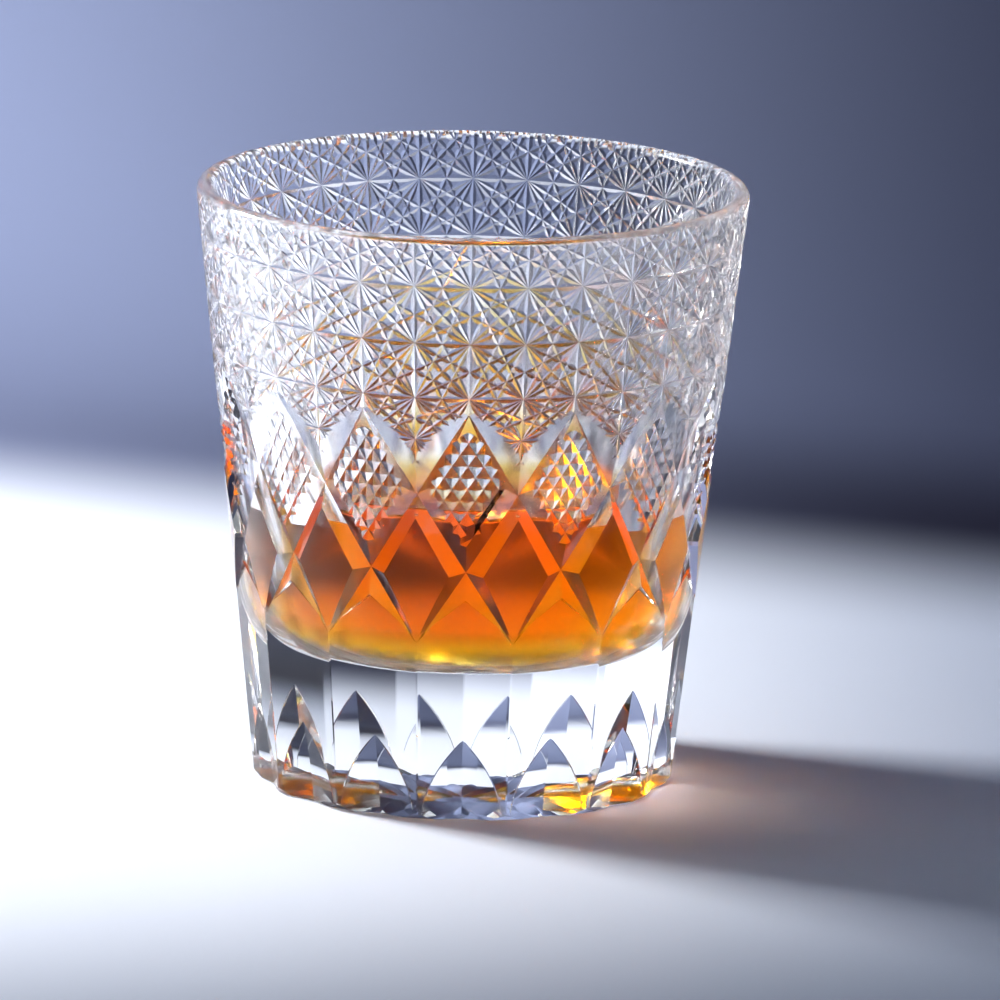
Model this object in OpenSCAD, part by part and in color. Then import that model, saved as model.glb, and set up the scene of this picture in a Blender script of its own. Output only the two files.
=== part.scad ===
// Cut-crystal whiskey tumbler with a measure of whiskey in it.
// A tapered tumbler with a thick foot. A ring of deep crossing mitre cuts makes two rows of
// diamonds round the wall, the upper row hatched into small pyramids. Flat panels with pointed
// arches run down to the foot.
// +Z is up along the tumbler's axis, the foot stands on z = 0, and one panel faces -Y.

/* [Tumbler] */
// Overall height, mm
height = 94; // [80:1:110]
// Outside diameter at the rim, mm
rim_diameter = 86; // [76:1:92]
// Diameter across the panel corners at the foot, mm
foot_diameter = 65.4; // [58:0.2:74]
// Glass thickness at the rim, mm
rim_wall = 2.7; // [2:0.1:4]
// Thickness of the solid foot under the floor, mm
floor_thickness = 22; // [12:0.5:30]
// Inside diameter at floor level, mm
floor_diameter = 50; // [46:0.5:62]
// Radius of the rounded corner between the floor and the wall, mm
floor_corner = 10; // [2:0.5:12]
// Width of the ground edge round the foot, mm
foot_edge = 0.8; // [0.4:0.1:1.5]

/* [Mitre cuts] */
// Number of diamonds, panels and arches round the tumbler
panel_count = 15; // [10:1:20]
// Height of the peaks where each pair of mitre cuts starts, mm
mitre_top = 66.2; // [56:0.2:74]
// Height where the mitre cuts run out at the panel corners, mm
mitre_foot = 29.2; // [24:0.2:36]
// Panel steps that one mitre cut passes on its way down
mitre_steps = 1.5; // [1.5:1:2.5]
// Depth of a mitre cut just below its blunt upper end, mm
mitre_depth = 1.7; // [1:0.05:2]
// Angle between the middle plane of a mitre cut and each of its sides, degrees
mitre_flank = 49; // [42:1:60]
// Depth left at the end of a mitre cut, where it runs out at a panel corner, mm
mitre_end_depth = 0.12; // [0.05:0.01:0.3]
// Part of a mitre cut's length taken up by its blunt upper end
mitre_nose = 0.093; // [0.04:0.005:0.2]

/* [Hatched diamonds] */
// Number of fine cuts in each of the two hatching directions
hatch_lines = 5; // [3:1:6]
// Distance between neighbouring fine cuts, mm
hatch_pitch = 2.05; // [1.6:0.05:2.6]
// Depth of the fine cuts, mm
hatch_depth = 0.56; // [0.3:0.02:0.8]
// Angle between the middle plane of a fine cut and each of its sides, degrees
hatch_flank = 59; // [50:1:64]

/* [Foot panels] */
// Height of the peak at the top of each flat panel, mm
panel_top = 35.6; // [30:0.2:40]
// Height of the point of each arch, mm
arch_top = 13; // [8:0.5:20]
// Depth of an arch cut at the foot, mm
arch_depth = 1.2; // [0.6:0.1:1.6]
// Angle between the middle plane of an arch cut and each of its sides, degrees
arch_flank = 80; // [74:1:84]

/* [Whiskey] */
// Height of the whiskey's surface above the table, mm
whiskey_level = 48; // [30:1:80]

/* [Hidden] */
// a circle with this many sides is a true round
round_fn = 120;
rim_r = rim_diameter / 2;
foot_r = foot_diameter / 2;
floor_r = floor_diameter / 2;
lip_r = rim_wall / 2;
step = 360 / panel_count;
// clearance that keeps the whiskey solid off the glass
wall_gap = 0.05;

// radius of the uncut outer cone at height z
function outer_r(z) = foot_r + (rim_r - foot_r) * z / height;
// radius of the inner cone at height z
function inner_r(z) =
    floor_r + (rim_r - rim_wall - floor_r) * (z - floor_thickness) / (height - floor_thickness);
// point at azimuth a, counted from -Y towards +X
function at(a, r, z) = [r * sin(a), -r * cos(a), z];
function unit(v) = v / norm(v);
// rotation that takes X, Y and Z to the three given unit vectors
function turn(x, y, z) = [atan2(y[2], z[2]), asin(-x[2]), atan2(x[1], x[0])];

// slope of the outer and inner walls away from the vertical
outer_tilt = atan((rim_r - foot_r) / height);
inner_tilt = atan((rim_r - rim_wall - floor_r) / (height - floor_thickness));
// centre of the round corner at the floor, touching the floor and the inner cone
corner_z = floor_thickness + floor_corner;
corner_r = inner_r(corner_z) - floor_corner / cos(inner_tilt);

// one half of the glass in section, before any cutting
module glass_section() {
    difference() {
        union() {
            polygon([
                [0, 0],
                [foot_r - foot_edge, 0],
                [outer_r(foot_edge), foot_edge],
                [rim_r - lip_r + lip_r * cos(outer_tilt), height - lip_r - lip_r * sin(outer_tilt)],
                [rim_r - lip_r, height - lip_r],
                [rim_r - lip_r - lip_r * cos(inner_tilt), height - lip_r + lip_r * sin(inner_tilt)],
                [corner_r + floor_corner * cos(inner_tilt), corner_z - floor_corner * sin(inner_tilt)],
                [corner_r, corner_z],
                [corner_r, floor_thickness],
                [0, floor_thickness],
            ]);
            translate([rim_r - lip_r, height - lip_r])
                circle(r = lip_r, $fn = round_fn);
        }
        translate([corner_r, corner_z])
            circle(r = floor_corner, $fn = round_fn);
    }
}

// straight V-shaped cut from point a towards point b, opening along out, lying on its bottom line
module vee_cut(a, b, out, flank, tall, extra) {
    along = unit(b - a);
    up = unit(out - (out * along) * along);
    side = cross(up, along);
    translate(a)
        rotate(turn(side, up, along))
            linear_extrude(height = norm(b - a) + extra)
                polygon([
                    [0, 0],
                    [tall * tan(flank), tall],
                    [-tall * tan(flank), tall],
                ]);
}

// one mitre cut: a short steep nose at the peak, then a straight chord that runs out at a panel corner
module mitre_cut() {
    sweep = mitre_steps * step;
    nose_z = mitre_top + mitre_nose * (mitre_foot - mitre_top);
    p = at(0, outer_r(mitre_top), mitre_top);
    a = at(mitre_nose * sweep, outer_r(nose_z) - mitre_depth, nose_z);
    b = at(sweep, outer_r(mitre_foot) - mitre_end_depth, mitre_foot);
    out = at(sweep / 2, 1, 0);
    vee_cut(a, b, out, mitre_flank, 5.5, 4);
    vee_cut(p, a, out, mitre_flank, 5.5, 0.4);
}

// the fine cuts of one hatched diamond in one direction
module hatch_cuts() {
    middle_z = mitre_top - (mitre_top - mitre_foot) / (2 * mitre_steps) + 0.9;
    lean = atan(outer_r(middle_z) * step * mitre_steps * PI / 180 / (mitre_top - mitre_foot));
    reach = 8;
    for (k = [0 : hatch_lines - 1]) {
        off = (k - (hatch_lines - 1) / 2) * hatch_pitch;
        z = middle_z + off * sin(lean);
        r = outer_r(z);
        azimuth = off * cos(lean) / r * 180 / PI;
        out = at(azimuth, cos(outer_tilt), 0) - [0, 0, sin(outer_tilt)];
        tangent = [cos(azimuth), sin(azimuth), 0];
        along = sin(lean) * tangent - cos(lean) * cross(out, tangent);
        c = at(azimuth, r, z) - hatch_depth * out;
        vee_cut(c - reach * along, c + reach * along, out, hatch_flank, 1.6, 0);
    }
}

// one flat panel, laid through the two corner lines beside it
module panel_cut() {
    half = step / 2;
    lean = atan((rim_r - foot_r) / height * cos(half));
    top = panel_top / cos(lean);
    corner = (mitre_foot + 0.5) / cos(lean);
    side = outer_r(mitre_foot) * sin(half);
    over = 1.5;
    drop = (top - corner) / side;
    translate([0, -foot_r * cos(half), 0])
        rotate([90 + lean, 0, 0])
            linear_extrude(height = 3)
                polygon([
                    [-side - over, -2],
                    [side + over, -2],
                    [side + over, corner - over * drop],
                    [0, top],
                    [-side - over, corner - over * drop],
                ]);
}

// one pointed arch, a shallow V cut that deepens from its point to the foot
module arch_cut() {
    half = step / 2;
    lean = atan((rim_r - foot_r) / height * cos(half));
    rise = arch_top / cos(lean);
    a = [0, rise, 0];
    b = [0, -1, -arch_depth * (rise + 1) / rise];
    translate([0, -foot_r * cos(half), 0])
        rotate([90 + lean, 0, 0])
            vee_cut(a, b, [0, 0, 1], arch_flank, 2.4, 0);
}

module glass_body() {
    color([0.93, 0.96, 0.98, 0.4])
        difference() {
            rotate_extrude($fn = round_fn)
                glass_section();
            for (i = [0 : panel_count - 1])
                rotate([0, 0, i * step]) {
                    mitre_cut();
                    mirror([1, 0, 0])
                        mitre_cut();
                    hatch_cuts();
                    mirror([1, 0, 0])
                        hatch_cuts();
                    panel_cut();
                    arch_cut();
                }
        }
}

// the whiskey fills the inside up to its level
module whiskey() {
    corner = floor_corner - wall_gap;
    color([0.85, 0.38, 0.05, 0.8])
        rotate_extrude($fn = round_fn)
            union() {
                polygon([
                    [0, floor_thickness + wall_gap],
                    [corner_r, floor_thickness + wall_gap],
                    [corner_r, corner_z],
                    [corner_r + corner * cos(inner_tilt), corner_z - corner * sin(inner_tilt)],
                    [inner_r(whiskey_level) - wall_gap / cos(inner_tilt), whiskey_level],
                    [0, whiskey_level],
                ]);
                translate([corner_r, corner_z])
                    circle(r = corner, $fn = round_fn);
            }
}

// Which node to show

glass_body();
whiskey();
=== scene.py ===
"""Looks of the cut-crystal whiskey tumbler: the glass with all its cutting, the whiskey, a studio."""

import math

import bpy
import numpy as np
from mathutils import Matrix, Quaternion, Vector


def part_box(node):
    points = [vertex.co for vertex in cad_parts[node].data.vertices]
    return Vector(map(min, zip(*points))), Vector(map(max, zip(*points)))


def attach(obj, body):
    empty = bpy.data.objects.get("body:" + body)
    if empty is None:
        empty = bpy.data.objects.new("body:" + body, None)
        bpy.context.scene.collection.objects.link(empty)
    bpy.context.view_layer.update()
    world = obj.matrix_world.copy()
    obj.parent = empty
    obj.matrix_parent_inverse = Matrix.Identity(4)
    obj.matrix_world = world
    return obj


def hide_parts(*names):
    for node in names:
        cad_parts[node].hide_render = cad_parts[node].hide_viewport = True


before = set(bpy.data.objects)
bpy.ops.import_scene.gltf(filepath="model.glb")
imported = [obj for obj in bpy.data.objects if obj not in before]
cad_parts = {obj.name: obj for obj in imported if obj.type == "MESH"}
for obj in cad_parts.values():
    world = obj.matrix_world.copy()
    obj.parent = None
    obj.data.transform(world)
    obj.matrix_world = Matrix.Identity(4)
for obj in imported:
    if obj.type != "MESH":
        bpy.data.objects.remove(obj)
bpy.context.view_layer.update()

# ---------------------------------------------------------------- sizes, in millimetres
glass_lo, glass_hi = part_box("glass_body")
drink_lo, drink_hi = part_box("whiskey")
H = (glass_hi.z - glass_lo.z) * 1000
RIM = (glass_hi.x - glass_lo.x) * 500
LEVEL = drink_hi.z * 1000
# the whiskey's CAD solid stands this far clear of the glass
DRINK_GAP = 0.05
FLOOR = drink_lo.z * 1000 - DRINK_GAP
# every size below is that of a tumbler 94 mm high
K = H / 94
# outside radius at the foot, and thickness of the wall at the rim
FOOT = 32.7 * K
WALL = 2.7 * K
LIP = WALL / 2
# inside radius at the floor, and radius of the corner there
FLOOR_R = 25 * K
FILLET = 10 * K
# width of the ground edge round the foot
EDGE = 0.8 * K
# panels round the glass, degrees from one to the next, and sides of a turned surface
N = 15
STEP = 360 / N
SEG = N * 20

# mitre cuts: height of both ends, degrees from end to end, depth, angle of the sides, bow of the
# path, height of the cutter
MITRE_TOP = 66.0 * K
MITRE_FOOT = 28.7 * K
MITRE_SWEEP = 36.0
MITRE_DEPTH = 1.2 * K
MITRE_FLANK = 63.0
MITRE_BOW = 0.1265
MITRE_TALL = 2.6 * K
# hatching: distance between cuts before scaling by K, depth, angle of the sides, half length,
# height of the cutter
HATCH_PITCH = 2.05
HATCH_DEPTH = 0.6 * K
HATCH_FLANK = 59
HATCH_REACH = 8 * K
HATCH_TALL = 1.4 * K
# panels: height of their corners and of their points
PANEL_CORNER = 29.7 * K
PANEL_TOP = 35.6 * K
# arches: height, depth at the foot, radius of the cutting wheel, angle of the sides, half width of
# the cutter
ARCH_TOP = 13 * K
ARCH_DEPTH = 1.08 * K
ARCH_WHEEL = 80 * K
ARCH_FLANK = math.radians(80)
ARCH_HALF = 7.3 * K
# rays of the star under the foot: depth, angle of the sides, height of the cutter
RAY_DEPTH = 1.1 * K
RAY_FLANK = 62
RAY_TALL = 1.5 * K
# width and depth of the star cuts, and of the polished edge round an arch
BROAD = (0.46 * K, 0.11 * K)
MIDDLE = (0.37 * K, 0.09 * K)
FINE = (0.28 * K, 0.07 * K)
ARCH_LINE = (0.20 * K, 0.05 * K)
# height of the meniscus, and how far the whiskey reaches into the glass so that no gap shows
MENISCUS = 0.9 * K
OVERLAP = 0.06 * K
# arc steps of the rim, of the glass's inside corner and of the whiskey's
LIP_ARC = 12
CORNER_ARC = 10
DRINK_ARC = 12

OUT_TILT = math.atan((RIM - FOOT) / H)
IN_TILT = math.atan((RIM - WALL - FLOOR_R) / (H - FLOOR))


def outer_r(z):
    return FOOT + (RIM - FOOT) * z / H


def inner_r(z):
    return FLOOR_R + (RIM - WALL - FLOOR_R) * (z - FLOOR) / (H - FLOOR)


CORNER_Z = FLOOR + FILLET
CORNER_R = inner_r(CORNER_Z) - FILLET / math.cos(IN_TILT)
LIP_R, LIP_Z = RIM - LIP, H - LIP


def unit(v):
    return np.asarray(v, float) / np.linalg.norm(v)


def at(a, r, z):
    a = math.radians(a)
    return np.array([r * math.sin(a), -r * math.cos(a), z])


def cone_normal(a):
    a = math.radians(a)
    c = math.cos(OUT_TILT)
    return np.array([c * math.sin(a), -c * math.cos(a), -math.sin(OUT_TILT)])


# ---------------------------------------------------------------- small closed solids as (points, faces)
def volume(v, f):
    total = 0.0
    for face in f:
        a = v[face[0]]
        for i in range(1, len(face) - 1):
            total += np.dot(a, np.cross(v[face[i]], v[face[i + 1]]))
    return total


def facing_out(v, f):
    v = np.asarray(v, float)
    return (v, f) if volume(v - v.mean(0), f) > 0 else (v, [tuple(reversed(x)) for x in f])


def sweep(rings, closed=False):
    """A closed solid from rings of points, each ring with the same number of points."""
    m, k = len(rings), len(rings[0])
    v = np.concatenate(rings)
    f = []
    for i in range(m if closed else m - 1):
        j = (i + 1) % m
        for a in range(k):
            b = (a + 1) % k
            f.append((i * k + a, i * k + b, j * k + b, j * k + a))
    if not closed:
        f.append(tuple(reversed(range(k))))
        f.append(tuple((m - 1) * k + a for a in range(k)))
    return facing_out(v, f)


def lathe(profile, seg):
    """A turned solid from (radius, height) points; the first and last points are on the axis."""
    body = profile[1:-1]
    m = len(body)
    v = [(0, 0, profile[0][1]), (0, 0, profile[-1][1])]
    for s in range(seg):
        a = 2 * math.pi * s / seg
        v += [(r * math.sin(a), -r * math.cos(a), z) for r, z in body]
    f = []
    for s in range(seg):
        p, q = 2 + s * m, 2 + (s + 1) % seg * m
        f.append((0, p, q))
        f += [(p + i, p + i + 1, q + i + 1, q + i) for i in range(m - 1)]
        f.append((p + m - 1, 1, q + m - 1))
    return facing_out(v, f)


def vee(a, b, out, flank, tall):
    """A straight V cut from a to b that opens along out."""
    along = unit(b - a)
    up = unit(out - np.dot(out, along) * along)
    side = np.cross(up, along) * tall * math.tan(math.radians(flank))
    return sweep([[p, p + tall * up + side, p + tall * up - side] for p in (a, b)])


def groove(points, normals, wide, deep, closed=False):
    """A fine V cut along a curve that lies on a surface."""
    m = len(points)
    proud = 0.2 * K
    rings = []
    for i, (p, n) in enumerate(zip(points, normals)):
        before = points[(i - 1) % m] if closed or i else p
        after = points[(i + 1) % m] if closed or i < m - 1 else p
        t = after - before
        w = np.cross(n, unit(t - np.dot(t, n) * n))
        half = wide / 2 * (deep + proud) / deep
        rings.append([p - deep * n, p + proud * n + half * w, p + proud * n - half * w])
    return sweep(rings, closed)


def joined(parts):
    vs, fs, base = [], [], 0
    for v, f in parts:
        vs.append(v)
        fs += [tuple(i + base for i in x) for x in f]
        base += len(v)
    return np.concatenate(vs), fs


def mesh_object(name, part):
    v, f = part
    me = bpy.data.meshes.new(name)
    me.from_pydata([tuple(p) for p in v], [], f)
    me.update()
    o = bpy.data.objects.new(name, me)
    bpy.context.scene.collection.objects.link(o)
    return o


def turned(part, deg):
    v, f = part
    a = math.radians(deg)
    c, s = math.cos(a), math.sin(a)
    return v @ np.array([[c, s, 0], [-s, c, 0], [0, 0, 1]]), f


def mirrored(part):
    v, f = part
    return v * np.array([-1, 1, 1]), [tuple(reversed(x)) for x in f]


# ---------------------------------------------------------------- the cuts
def mitre_cut():
    """A V cut that sinks in at a peak, crosses two others and runs out at a panel corner."""
    out = at(MITRE_SWEEP / 2, 1, 0)
    path = []
    for t in np.linspace(-0.03, 1.03, 33):
        z = MITRE_TOP - (MITRE_TOP - MITRE_FOOT) * t * (1 + MITRE_BOW * (1 - t))
        a = t * MITRE_SWEEP
        path.append(at(a, outer_r(z), z) - MITRE_DEPTH * (1 - abs(2 * t - 1) ** 3) * cone_normal(a))
    rings = []
    for i in range(1, len(path) - 1):
        along = unit(path[i + 1] - path[i - 1])
        up = unit(out - np.dot(out, along) * along)
        side = math.tan(math.radians(MITRE_FLANK)) * np.cross(up, along)
        rings.append([path[i], path[i] + MITRE_TALL * (up + side), path[i] + MITRE_TALL * (up - side)])
    return sweep(rings)


def hatch_cut(k):
    """One fine cut of the hatching, number k of -2 to 2 across a diamond."""
    mid = MITRE_TOP - (MITRE_TOP - MITRE_FOOT) / 3 + 0.15 * K
    lean = math.atan(math.radians(outer_r(mid) * MITRE_SWEEP) / (MITRE_TOP - MITRE_FOOT))
    off = k * HATCH_PITCH * K
    z = mid + off * math.sin(lean)
    r = outer_r(z)
    a = math.degrees(off * math.cos(lean) / r)
    n = cone_normal(a)
    t = np.array([math.cos(math.radians(a)), math.sin(math.radians(a)), 0])
    along = math.sin(lean) * t - math.cos(lean) * np.cross(n, t)
    c = at(a, r, z) - HATCH_DEPTH * n
    return vee(c - HATCH_REACH * along, c + HATCH_REACH * along, n, HATCH_FLANK, HATCH_TALL)


def panel_frame():
    """Origin, up, outward direction and lean of the flat panel that faces -Y."""
    half = math.radians(STEP / 2)
    lean = math.atan((RIM - FOOT) / H * math.cos(half))
    origin = np.array([0, -FOOT * math.cos(half), 0])
    up = np.array([0, -math.sin(lean), math.cos(lean)])
    out = np.array([0, -math.cos(lean), -math.sin(lean)])
    return origin, up, out, lean


def panel_cut():
    """What is taken off to leave one flat panel with a pointed top."""
    origin, up, out, lean = panel_frame()
    side = outer_r(PANEL_CORNER) * math.sin(math.radians(STEP / 2))
    top = PANEL_TOP / math.cos(lean)
    corner = PANEL_CORNER / math.cos(lean)
    over = 1.5 * K
    drop = (top - corner) / side
    x = np.array([1, 0, 0])
    flat = [(-side - over, -2 * K), (side + over, -2 * K), (side + over, corner - over * drop),
            (0, top), (-side - over, corner - over * drop)]
    # the top walls lean back, as a cutting wheel leaves them
    base = [origin + u * x + v * up for u, v in flat]
    far = [p + 3 * K * out + (1.6 * K * up if v > 0 else 0) for p, (u, v) in zip(base, flat)]
    return sweep([base, far])


def arch_depth(s, rise):
    """Depth of an arch cut at a distance s below its point, as a large wheel leaves it."""
    start = ARCH_DEPTH / rise + rise / (2 * ARCH_WHEEL)
    return start * s - s * s / (2 * ARCH_WHEEL)


def arch_cut():
    """A shallow pointed arch that deepens towards the foot."""
    origin, up, out, lean = panel_frame()
    rise = ARCH_TOP / math.cos(lean)
    x = np.array([1, 0, 0])
    lift = ARCH_HALF / math.tan(ARCH_FLANK)
    over = 2.5 * K
    rings = []
    for s in np.linspace(-over, rise + over, 15):
        p = origin + (rise - s) * up - arch_depth(s, rise) * out
        rings.append([p, p + ARCH_HALF * x + lift * out, p + ARCH_HALF * x + (lift + 2 * K) * out,
                      p - ARCH_HALF * x + (lift + 2 * K) * out, p - ARCH_HALF * x + lift * out])
    return sweep(rings)


def arch_edge():
    """The polished edge round an arch, a hair's breadth wide."""
    origin, up, out, lean = panel_frame()
    rise = ARCH_TOP / math.cos(lean)
    stops = np.linspace(0.3 * K, rise + 0.4 * K, 12)
    sides = []
    for hand in (1, -1):
        x = np.array([hand * math.tan(ARCH_FLANK), 0, 0])
        line = [origin + (rise - s) * up + arch_depth(s, rise) * x for s in stops]
        sides.append(groove(line, [out] * len(stops), *ARCH_LINE))
    return sides


def edge_cut():
    """The narrow polished band along the edge between two panels."""
    depth = 0.03 * K
    half = K
    tall = 0.5 * K
    a = STEP / 2
    n = cone_normal(a)
    t = np.array([math.cos(math.radians(a)), math.sin(math.radians(a)), 0])
    rings = []
    for z in (-1.0 * K, PANEL_CORNER):
        p = at(a, outer_r(z), z) - depth * n
        rings.append([p - half * t, p + half * t, p + half * t + tall * n, p - half * t + tall * n])
    return sweep(rings)


def base_cut():
    """One ray of the star under the foot."""
    rings = []
    for t in np.linspace(-0.02, 1.02, 14):
        p = at(0, (6 + 25 * t) * K, RAY_DEPTH * (1 - (2 * t - 1) ** 2))
        side = np.array([1, 0, 0]) * RAY_TALL * math.tan(math.radians(RAY_FLANK))
        rings.append([p, p - [0, 0, RAY_TALL] + side, p - [0, 0, RAY_TALL] - side])
    return sweep(rings)


# rows of stars: heights of the star centres, the first one just above the rim
ROWS = np.array([95.2, 86.2, 77.2, 68.4, 61.7, 53.0]) * K
# degrees between neighbouring columns, depth of the zigzag line, shortest cut that is made
COL = 12.0
ZIGZAG = 13.4 * K
SHORTEST = 0.8 * K
# a cut bends at the rows where their spacing changes most
KNOTS = (3.0, 4.0)


def row_z(v):
    """Height of row number v, which may lie between two rows."""
    return np.interp(v, np.arange(len(ROWS)), ROWS)


def zigzag(a):
    """Height of the line along the mitre cuts that the stars stop at."""
    half = STEP / 2
    t = np.abs((np.asarray(a) + half) % STEP - half) / half
    return MITRE_TOP - t * ZIGZAG


def star_tube(path, wide, deep, closed=False):
    """A curved V cut along (azimuth, height) points on the outer cone."""
    points = [at(a, outer_r(z), z) for a, z in path]
    return groove(points, [cone_normal(a) for a, z in path], wide, deep, closed)


def star_lines(di, dv, starts, wide, deep):
    """All star cuts of one direction, in lattice steps of di columns for dv rows."""
    out = []
    v = np.arange(0.18, 4.95, 0.01)
    for i0 in starts:
        a = (i0 + di / dv * v) * COL
        z = row_z(v)
        inside = z > zigzag(a)
        j = 0
        while j < len(v):
            if not inside[j]:
                j += 1
                continue
            k = j
            while k + 1 < len(v) and inside[k + 1]:
                k += 1
            if z[j] - z[k] > SHORTEST:
                count = max(1, math.ceil(abs(a[k] - a[j]) / 3.0))
                stops = set(np.linspace(v[j], v[k], count + 1))
                stops |= {x for x in KNOTS if v[j] + 0.1 < x < v[k] - 0.1}
                path = [((i0 + di / dv * s) * COL, float(row_z(s))) for s in sorted(stops)]
                out.append(star_tube(path, wide, deep))
            j = k + 1
    return joined(out)


def star_rings(wide, deep):
    """The level cuts through the rows of stars; the lowest is broken by the peaks of the mitre cuts."""
    out = []
    for z in ROWS[1:4]:
        out.append(star_tube([(a, z) for a in np.arange(0, 360, 3)], wide, deep, closed=True))
    z = ROWS[4]
    reach = (MITRE_TOP - z) / ZIGZAG * 12
    for i in range(N):
        a0, a1 = i * 24 + reach, i * 24 + 24 - reach
        out.append(star_tube([(a, z) for a in np.linspace(a0, a1, 6)], wide, deep))
    return joined(out)


def around(part, which=range(N)):
    """Copies of a cutter round the glass, one for each panel in which."""
    return joined([turned(part, i * STEP) for i in which])


def glass_profile():
    """Half of the uncut glass in section, from under the foot round to the inside floor."""
    p = [(0, 0), (FOOT - EDGE, 0), (outer_r(EDGE), EDGE)]
    a0, a1 = -OUT_TILT, math.pi - IN_TILT
    for i in range(LIP_ARC + 1):
        a = a0 + (a1 - a0) * i / LIP_ARC
        p.append((LIP_R + LIP * math.cos(a), LIP_Z + LIP * math.sin(a)))
    for i in range(CORNER_ARC + 1):
        a = -IN_TILT - (math.pi / 2 - IN_TILT) * i / CORNER_ARC
        p.append((CORNER_R + FILLET * math.cos(a), CORNER_Z + FILLET * math.sin(a)))
    p.append((0, FLOOR))
    return p


def carve(body, cutters):
    """Cut each cutter out of the body, and leave one plain mesh."""
    made = []
    for i, part in enumerate(cutters):
        o = mesh_object("cutter_%02d" % i, part)
        made.append(o)
        m = body.modifiers.new(o.name, "BOOLEAN")
        m.operation, m.solver, m.object = "DIFFERENCE", "MANIFOLD", o
    dg = bpy.context.evaluated_depsgraph_get()
    me = bpy.data.meshes.new_from_object(body.evaluated_get(dg))
    body.modifiers.clear()
    old, body.data = body.data, me
    bpy.data.meshes.remove(old)
    for o in made:
        me = o.data
        bpy.data.objects.remove(o)
        bpy.data.meshes.remove(me)


def set_normals(me):
    """True normals on the turned surfaces, flat facets on the cuts, gently curved facets kept smooth."""
    nl, nf, nv = len(me.loops), len(me.polygons), len(me.vertices)
    co = np.empty(nv * 3)
    me.vertices.foreach_get("co", co)
    co = co.reshape(-1, 3)
    lv = np.empty(nl, int)
    me.loops.foreach_get("vertex_index", lv)
    start, total = np.empty(nf, int), np.empty(nf, int)
    me.polygons.foreach_get("loop_start", start)
    me.polygons.foreach_get("loop_total", total)
    fn = np.empty(nf * 3)
    me.polygons.foreach_get("normal", fn)
    fn = fn.reshape(-1, 3)
    area = np.empty(nf)
    me.polygons.foreach_get("area", area)
    lf = np.empty(nl, int)
    for s, t, i in zip(start, total, range(nf)):
        lf[s:s + t] = i
    p, n = co[lv], fn[lf]
    rho = np.hypot(p[:, 0], p[:, 1]) + 1e-9
    e = p[:, :2] / rho[:, None]
    z = p[:, 2]
    best, dot = n.copy(), np.full(nl, -1.0)

    def offer(near, nr, nz, limit):
        nonlocal best, dot
        c = np.stack([e[:, 0] * nr, e[:, 1] * nr, nz * np.ones(nl)], 1)
        d = (c * n).sum(1)
        ok = near & (d > math.cos(math.radians(limit))) & (d > dot)
        best[ok], dot[ok] = c[ok], d[ok]

    tol = 0.03 * K
    one = np.ones(nl)
    offer(abs(rho - outer_r(z)) < tol, math.cos(OUT_TILT) * one, -math.sin(OUT_TILT), 3)
    on_wall = (abs(rho - inner_r(z)) < tol) & (z > FLOOR + 1)
    offer(on_wall, -math.cos(IN_TILT) * one, math.sin(IN_TILT), 3)
    dr, dz = (rho - LIP_R) / LIP, (z - LIP_Z) / LIP
    offer(abs(np.hypot(dr, dz) - 1) < 0.03, dr, dz, 10)
    dr, dz = (rho - CORNER_R) / FILLET, (z - CORNER_Z) / FILLET
    offer(abs(np.hypot(dr, dz) - 1) < 0.02, -dr, -dz, 8)
    offer((abs(z - FLOOR) < tol) & (rho < FLOOR_R), 0 * one, 1.0, 6)

    free = dot < 0
    order = np.argsort(lv[free], kind="stable")
    idx = np.nonzero(free)[0][order]
    verts = lv[idx]
    cuts = np.nonzero(np.diff(verts))[0] + 1
    limit = math.cos(math.radians(9))
    for group in np.split(idx, cuts):
        if len(group) < 2:
            continue
        gn = n[group]
        w = (gn @ gn.T > limit) * area[lf[group]][None, :]
        s = w @ gn
        size = np.linalg.norm(s, axis=1)
        ok = size > 1e-12
        best[group[ok]] = s[ok] / size[ok, None]
    me.polygons.foreach_set("use_smooth", [True] * nf)
    me.normals_split_custom_set([tuple(x) for x in best])
    me.update()


def scaled(o):
    """Millimetres to the frame's metres."""
    me = o.data
    co = np.empty(len(me.vertices) * 3)
    me.vertices.foreach_get("co", co)
    me.vertices.foreach_set("co", co * 0.001)
    me.update()


def build_glass():
    """The glass with all its cutting."""
    body = mesh_object("crystal_tumbler", lathe(glass_profile(), SEG))
    mitre = mitre_cut()
    thirds = [range(i, N, 3) for i in range(3)]
    cutters = [around(mitre), mirrored(around(mitre))]
    cutters += [around(panel_cut(), w) for w in thirds]
    cutters += [around(arch_cut(), w) for w in thirds]
    cutters.append(around(edge_cut()))
    cutters += [around(side) for side in arch_edge()]
    cutters += [joined([turned(base_cut(), i * STEP / 2) for i in range(j, 2 * N, 3)]) for j in range(3)]
    for ks in ((-2, 0, 2), (-1, 1)):
        one = joined([hatch_cut(k) for k in ks])
        cutters += [around(one), mirrored(around(one))]
    n = 2 * N
    cutters.append(star_rings(*BROAD))
    cutters.append(star_lines(0, 1, range(n), *BROAD))
    for s in (1, -1):
        cutters.append(star_lines(s, 1, range(n), *MIDDLE))
        cutters.append(star_lines(s, 2, np.arange(0, n, 0.5), *FINE))
        cutters.append(star_lines(2 * s, 1, range(n), *FINE))
    carve(body, cutters)
    set_normals(body.data)
    scaled(body)
    return body


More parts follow.
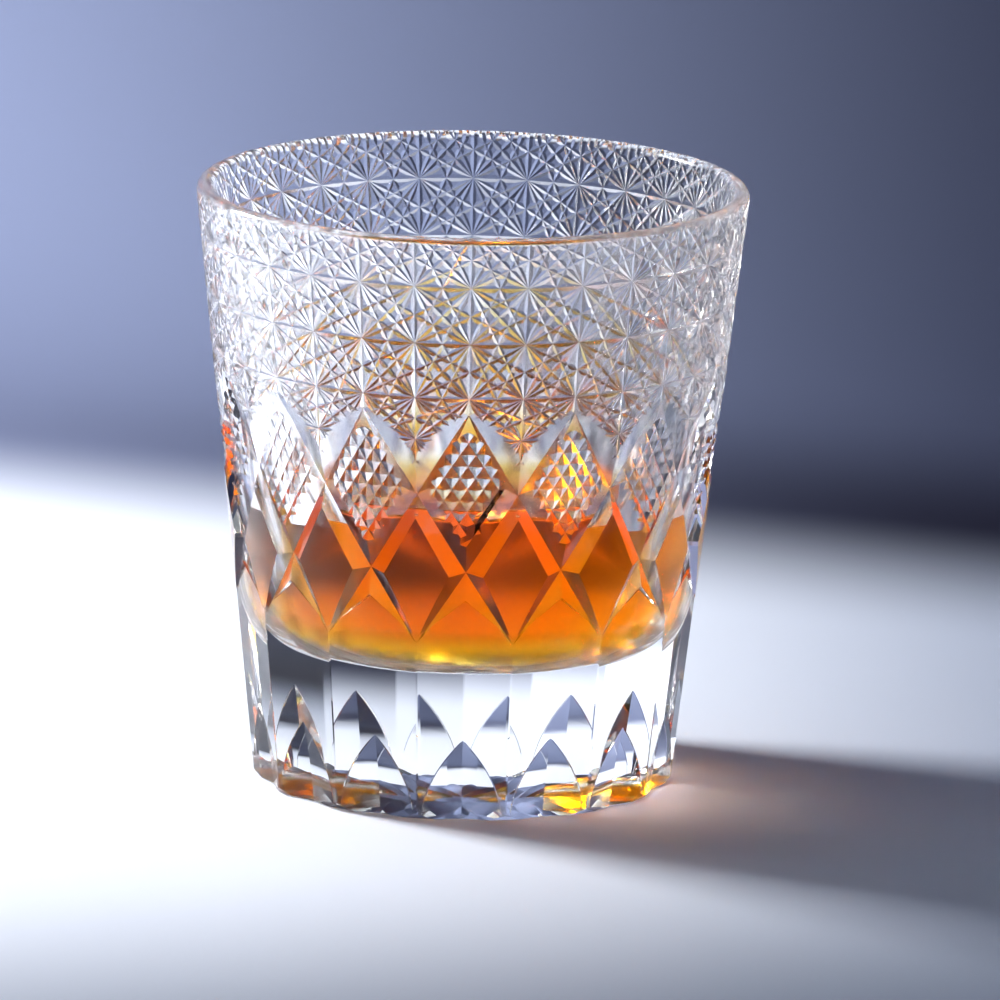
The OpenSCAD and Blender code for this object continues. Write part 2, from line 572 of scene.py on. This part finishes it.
def drink_profile():
    """Half of the whiskey in section, whose meniscus dies away over about a millimetre."""
    p = [(0, FLOOR - OVERLAP)]
    r = FILLET + OVERLAP
    for i in range(DRINK_ARC + 1):
        a = -math.pi / 2 + (math.pi / 2 - IN_TILT) * i / DRINK_ARC
        p.append((CORNER_R + r * math.cos(a), CORNER_Z + r * math.sin(a)))
    reach = 1.1 * K
    top = LEVEL + MENISCUS
    edge = inner_r(top) + OVERLAP / math.cos(IN_TILT)
    p.append((edge, top))
    for d in (0.12, 0.3, 0.55, 0.9, 1.4, 2.0, 3.0, 4.5, 7.0):
        p.append((edge - d * K, LEVEL + MENISCUS * math.exp(-d * K / reach)))
    p.append((0, LEVEL))
    return p


def build_drink():
    o = mesh_object("whiskey_drink", lathe(drink_profile(), SEG))
    o.data.polygons.foreach_set("use_smooth", [True] * len(o.data.polygons))
    o.data.set_sharp_from_angle(angle=math.radians(35))
    scaled(o)
    return o


# ---------------------------------------------------------------- materials
GLASS_IOR = 1.54
WHISKEY_IOR = 1.36
# tint of the reflections on the glass, on the whiskey's top, and where the two touch
GLASS_TINT = 0.2
WHISKEY_TINT = 0.35
WET_TINT = 0.08
# roughness of the inner wall
INNER_SOFT = 0.17


def new_material(name):
    m = bpy.data.materials.new(name)
    m.use_nodes = True
    nt = m.node_tree
    nt.nodes.clear()
    out = nt.nodes.new("ShaderNodeOutputMaterial")
    bsdf = nt.nodes.new("ShaderNodeBsdfPrincipled")
    nt.links.new(bsdf.outputs[0], out.inputs["Surface"])
    return m, nt, bsdf, out


def wavy(nt, bsdf, scale, strength, distance):
    """A very faint waviness of the surface."""
    tc = nt.nodes.new("ShaderNodeTexCoord")
    noise = nt.nodes.new("ShaderNodeTexNoise")
    noise.inputs["Scale"].default_value = scale
    noise.inputs["Detail"].default_value = 2
    bump = nt.nodes.new("ShaderNodeBump")
    bump.inputs["Strength"].default_value = strength
    bump.inputs["Distance"].default_value = distance
    nt.links.new(tc.outputs["Object"], noise.inputs["Vector"])
    nt.links.new(noise.outputs["Fac"], bump.inputs["Height"])
    nt.links.new(bump.outputs["Normal"], bsdf.inputs["Normal"])
    return tc, noise


def wet_tint(nt, bsdf, dry, checks, soft=0.0):
    """Turn a surface's reflections down to dry, and to WET_TINT where glass and whiskey touch.

    checks are (weights, low, high) in metres, each on radius and height, and all of them hold on the
    wet surface. A check on the radius also gives the surface it finds the roughness soft.
    """
    tc = nt.nodes.new("ShaderNodeTexCoord")
    sep = nt.nodes.new("ShaderNodeSeparateXYZ")
    nt.links.new(tc.outputs["Object"], sep.inputs[0])

    def math_node(kind, a, b):
        node = nt.nodes.new("ShaderNodeMath")
        node.operation = kind
        for socket, value in zip(node.inputs, (a, b)):
            if isinstance(value, float):
                socket.default_value = value
            else:
                nt.links.new(value, socket)
        return node.outputs[0]

    across = math_node("MULTIPLY", sep.outputs["X"], sep.outputs["X"])
    deep = math_node("MULTIPLY", sep.outputs["Y"], sep.outputs["Y"])
    radius = math_node("POWER", math_node("ADD", across, deep), 0.5)
    wet = None
    for (wr, wz), low, high in checks:
        outward = math_node("MULTIPLY", radius, wr)
        upward = math_node("MULTIPLY", sep.outputs["Z"], wz)
        value = math_node("ADD", outward, upward)
        above = math_node("GREATER_THAN", value, low)
        below = math_node("LESS_THAN", value, high)
        inside = math_node("MULTIPLY", above, below)
        wet = inside if wet is None else math_node("MULTIPLY", wet, inside)
        if soft and wr:
            nt.links.new(math_node("MULTIPLY", inside, soft), bsdf.inputs["Roughness"])
    tint = math_node("SUBTRACT", dry, math_node("MULTIPLY", wet, dry - WET_TINT))
    nt.links.new(tint, bsdf.inputs["Specular Tint"])


def crystal_material():
    m, nt, bsdf, out = new_material("crystal")
    bsdf.inputs["Transmission Weight"].default_value = 1
    bsdf.inputs["IOR"].default_value = GLASS_IOR
    bsdf.inputs["Roughness"].default_value = 0.0
    tc, noise = wavy(nt, bsdf, 90, 0.05, 0.0002)
    # hand-polished glass: its clearness drifts a little from place to place
    ramp = nt.nodes.new("ShaderNodeValToRGB")
    ramp.color_ramp.elements[0].color = (0.965, 0.98, 0.985, 1)
    ramp.color_ramp.elements[1].color = (0.995, 0.998, 1.0, 1)
    nt.links.new(noise.outputs["Fac"], ramp.inputs["Fac"])
    nt.links.new(ramp.outputs["Color"], bsdf.inputs["Base Color"])
    slope = math.tan(IN_TILT)
    wall = (FLOOR_R - slope * FLOOR + 0.6 * K) / 1000
    heights = ((0.0, 1.0), (FLOOR - 0.5 * K) / 1000, (LEVEL + MENISCUS) / 1000)
    within = ((1.0, -slope), -1.0, wall)
    wet_tint(nt, bsdf, GLASS_TINT, [heights, within], INNER_SOFT)
    return m


def whiskey_material():
    m, nt, bsdf, out = new_material("whiskey")
    bsdf.inputs["Transmission Weight"].default_value = 1
    bsdf.inputs["IOR"].default_value = WHISKEY_IOR
    bsdf.inputs["Roughness"].default_value = 0.0
    bsdf.inputs["Base Color"].default_value = (1, 1, 1, 1)
    wavy(nt, bsdf, 60, 0.04, 0.0002)
    under_top = ((0.0, 1.0), -1.0, (LEVEL - 0.05 * K) / 1000)
    wet_tint(nt, bsdf, WHISKEY_TINT, [under_top])
    absorb = nt.nodes.new("ShaderNodeVolumeAbsorption")
    absorb.inputs["Color"].default_value = (0.993, 0.865, 0.0, 1)
    absorb.inputs["Density"].default_value = 300
    nt.links.new(absorb.outputs[0], out.inputs["Volume"])
    return m


# ---------------------------------------------------------------- the part
glass = build_glass()
glass.data.materials.clear()
glass.data.materials.append(crystal_material())
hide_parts("glass_body")
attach(glass, "root")

drink = build_drink()
drink.data.materials.append(whiskey_material())
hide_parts("whiskey")
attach(drink, "root")


# ---------------------------------------------------------------- studio
def graded(nt, value, low, high, a, b):
    """Mix two colours, or two linked colours, as a value goes from low to high."""
    ramp = nt.nodes.new("ShaderNodeMapRange")
    ramp.interpolation_type = "SMOOTHSTEP"
    ramp.inputs["From Min"].default_value = low
    ramp.inputs["From Max"].default_value = high
    nt.links.new(value, ramp.inputs["Value"])
    mix = nt.nodes.new("ShaderNodeMix")
    mix.data_type = "RGBA"
    nt.links.new(ramp.outputs["Result"], mix.inputs[0])
    for socket, colour in zip(mix.inputs[6:8], (a, b)):
        if isinstance(colour, tuple):
            socket.default_value = colour
        else:
            nt.links.new(colour, socket)
    return mix.outputs[2]


def studio_painted_shade_material():
    m, nt, bsdf, out = new_material("studio_sweep")
    bsdf.inputs["Roughness"].default_value = 0.6
    bsdf.inputs["Specular IOR Level"].default_value = 0.2
    tc = nt.nodes.new("ShaderNodeTexCoord")
    sep = nt.nodes.new("ShaderNodeSeparateXYZ")
    nt.links.new(tc.outputs["Object"], sep.inputs[0])
    skewed = []
    for lean in (0.36, -0.35):
        skew = nt.nodes.new("ShaderNodeMath")
        skew.operation = "MULTIPLY_ADD"
        skew.inputs[1].default_value = lean
        nt.links.new(sep.outputs["X"], skew.inputs[0])
        nt.links.new(sep.outputs["Y"], skew.inputs[2])
        skewed.append(skew.outputs[0])
    # painted shade: the backdrop's colour runs from lit blue-grey at the left to near black at the
    # right, and its lower band (low) is darker than its upper part (high), in place of light falling off
    # across it
    low = graded(nt, sep.outputs["X"], -0.12, 0.10, (0.14, 0.165, 0.27, 1), (0.010, 0.010, 0.025, 1))
    high = graded(nt, sep.outputs["X"], -0.12, 0.16, (0.26, 0.31, 0.49, 1), (0.035, 0.042, 0.085, 1))
    wall = graded(nt, skewed[0], 0.21, 0.31, low, high)
    # painted shade: the table's colour dims from pale at the left, where the lamps stand, to grey-blue
    # at the right (pale), and goes dark toward the front (table), in place of light falling off
    pale = graded(nt, sep.outputs["X"], 0.0, 0.13, (0.80, 0.86, 0.98, 1), (0.40, 0.46, 0.60, 1))
    table = graded(nt, skewed[1], -0.20, -0.05, (0.20, 0.24, 0.33, 1), pale)
    colour = graded(nt, skewed[0], 0.125, 0.215, table, wall)
    nt.links.new(colour, bsdf.inputs["Base Color"])
    return m


def stage_sweep():
    """A pale table whose far side curves up into a dusky backdrop; the dimming of both across the stage
    is painted shade in their colour.
    """
    pts = [(-1.6, 0.0), (0.12, 0.0)]
    bend = 0.26
    r = 0.10
    for i in range(17):
        a = math.pi / 2 * i / 16
        pts.append((bend + r * math.sin(a), r * (1 - math.cos(a))))
    pts.append((bend + r, 1.6))
    xs = [-2.2, -0.6, -0.2, 0.0, 0.2, 0.6, 2.2]
    v = [(x, y, z - 0.0002) for x in xs for y, z in pts]
    k = len(pts)
    f = []
    for i in range(len(xs) - 1):
        f += [(i * k + j, (i + 1) * k + j, (i + 1) * k + j + 1, i * k + j + 1) for j in range(k - 1)]
    me = bpy.data.meshes.new("studio_sweep")
    me.from_pydata(v, [], f)
    me.polygons.foreach_set("use_smooth", [True] * len(f))
    o = bpy.data.objects.new("studio_sweep", me)
    bpy.context.scene.collection.objects.link(o)
    me.materials.append(studio_painted_shade_material())


def area(name, where, to, size, power, colour):
    d = bpy.data.lights.new(name, "AREA")
    d.energy, d.color, d.size = power, colour, size
    o = bpy.data.objects.new(name, d)
    bpy.context.scene.collection.objects.link(o)
    o.location = where
    o.rotation_mode = "QUATERNION"
    o.rotation_quaternion = (Vector(to) - Vector(where)).to_track_quat("-Z", "Y")
    return o


stage_sweep()
area("key", (-0.32, 0.155, 0.27), (0, 0, 0.04), 0.10, 3.4, (1.0, 0.98, 0.95))
area("back_soft", (-0.75, 0.36, 0.62), (0, 0, 0.04), 0.5, 3.0, (1.0, 0.98, 0.95))
area("left_soft", (-1.1, -0.25, 0.55), (0, 0, 0.04), 0.9, 0.6, (0.86, 0.92, 1.0))
area("top_soft", (0.1, 0.1, 1.3), (0, 0, 0), 0.9, 0.45, (0.80, 0.88, 1.0))

world = bpy.data.worlds.new("studio")
bpy.context.scene.world = world
world.use_nodes = True
bg = world.node_tree.nodes["Background"]
bg.inputs[0].default_value = (0.42, 0.50, 0.78, 1)
bg.inputs[1].default_value = 0.12
bpy.context.scene.view_settings.view_transform = "Standard"

# ---------------------------------------------------------------- camera
# a long lens from far off, looking slightly down and rolled a little, as in the photograph
centre = Vector((0, 0, H / 2000))
tilt = math.radians(12.6)
roll = math.radians(1.12)
forward = Vector((0, math.cos(tilt), -math.sin(tilt)))
right = Vector((1, 0, 0))
up = Vector((0, math.sin(tilt), math.cos(tilt)))
away = 2.666
cam = bpy.data.objects.new("camera", bpy.data.cameras.new("camera"))
bpy.context.scene.collection.objects.link(cam)
cam.data.sensor_width = 36
cam.data.lens = 615.5
cam.data.clip_start, cam.data.clip_end = 0.1, 30
cam.location = centre - forward * away
aim = centre + right * 0.0051 - up * 0.0032
look = (aim - cam.location).to_track_quat("-Z", "Y")
cam.rotation_mode = "QUATERNION"
cam.rotation_quaternion = look @ Quaternion((0, 0, 1), roll)
bpy.context.scene.camera = cam

cy = bpy.context.scene.cycles
cy.max_bounces = 32
cy.transmission_bounces = 28
cy.glossy_bounces = 12
cy.transparent_max_bounces = 16
cy.diffuse_bounces = 4
cy.sample_clamp_indirect = 40
cy.blur_glossy = 0.3
